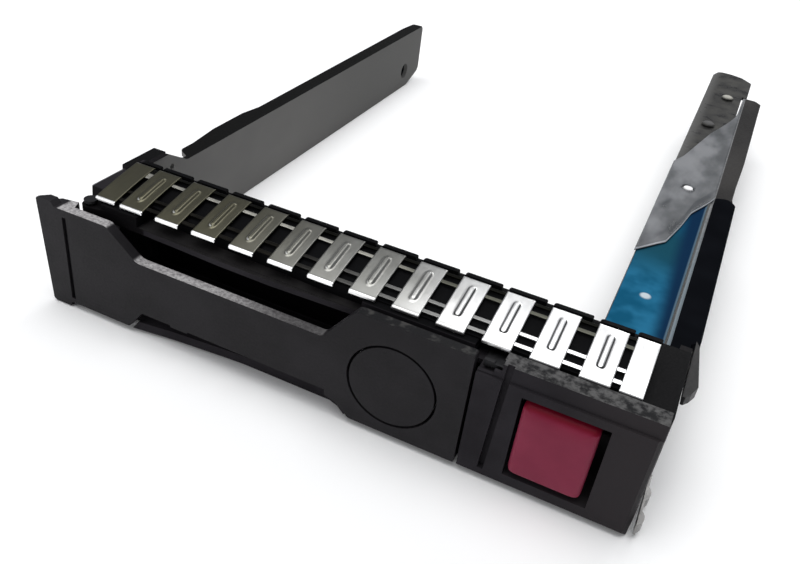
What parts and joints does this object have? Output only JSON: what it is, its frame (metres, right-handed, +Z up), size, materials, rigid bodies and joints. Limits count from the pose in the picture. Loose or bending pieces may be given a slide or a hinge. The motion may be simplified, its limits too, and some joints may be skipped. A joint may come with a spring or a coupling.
{
  "type": "hot-swap drive carrier",
  "caption": "Empty front-loading carrier for a small hard disk drive: bezel with swinging eject lever and release button, side rails, grounding fingers and a flexible circuit.",
  "frame": {"origin": "middle of the carrier's footprint, on the surface it lies on", "axes": "+X from the lever's pivot end towards the release button, +Y from the bezel's face towards the rails' tips, +Z up"},
  "size_m": [0.0789, 0.1314, 0.0177],
  "materials": {
    "bezel_plastic": "fine moulded texture",
    "lever_plastic": "fine moulded texture, worn light on its top edges",
    "black_plastic": "satin",
    "burgundy_plastic": "satin",
    "spring_steel": "bright sheet",
    "pin_steel": "satin",
    "rail_paint": "matte",
    "shelf_dark": "semi-gloss",
    "blue_film": "glossy",
    "clear_film": "glossy, clear",
    "clear_lens": "clear",
    "board": "solder mask"
  },
  "bodies": {
    "carrier": {"bezel_frame": "bezel_plastic", "lever_pin": "pin_steel", "lever_spring": "spring_steel", "button_spring": "spring_steel", "status_board": "board", "status_led": "clear_lens", "light_guide": "clear_lens", "ground_spring_strip": "spring_steel", "side_ground_spring": "spring_steel", "cage_clip": "black_plastic", "left_rail": "rail_paint", "right_rail": "rail_paint", "rail_runner": "black_plastic", "circuit_shelf": "shelf_dark", "contact_dimple_rear": "shelf_dark", "contact_dimple_front": "shelf_dark", "flex_circuit": "blue_film", "protective_film": "clear_film", "rail_rivet_left_upper": "pin_steel", "rail_rivet_left_lower": "pin_steel", "rail_rivet_right_upper": "pin_steel", "rail_rivet_right_lower": "pin_steel"},
    "lever_body": {"lever": "lever_plastic", "status_disc": "lever_plastic", "status_light_ring": "clear_lens", "status_cover": "black_plastic"},
    "button_body": {"release_button": "burgundy_plastic"},
    "catch_body": {"release_catch": "pin_steel"}
  },
  "joints": [
    {"name": "lever_hinge", "type": "hinge", "parent": "carrier", "child": "lever_body", "pos_m": [-0.03335, -0.0625, 0], "axis": [0, 0, -1], "range_deg": [0, 45]},
    {"name": "button_press", "type": "slide", "parent": "carrier", "child": "button_body", "axis": [0, 1, 0], "range_m": [0, 0.0012], "stiffness_N_per_m": 400, "springref_m": -0.001},
    {"name": "catch_slide", "type": "slide", "parent": "carrier", "child": "catch_body", "axis": [1, 0, 0], "range_m": [0, 0.00045]}
  ],
  "couplings": [
    {"joint": "catch_slide", "follows": "button_press", "ratio": 0.37}
  ]
}
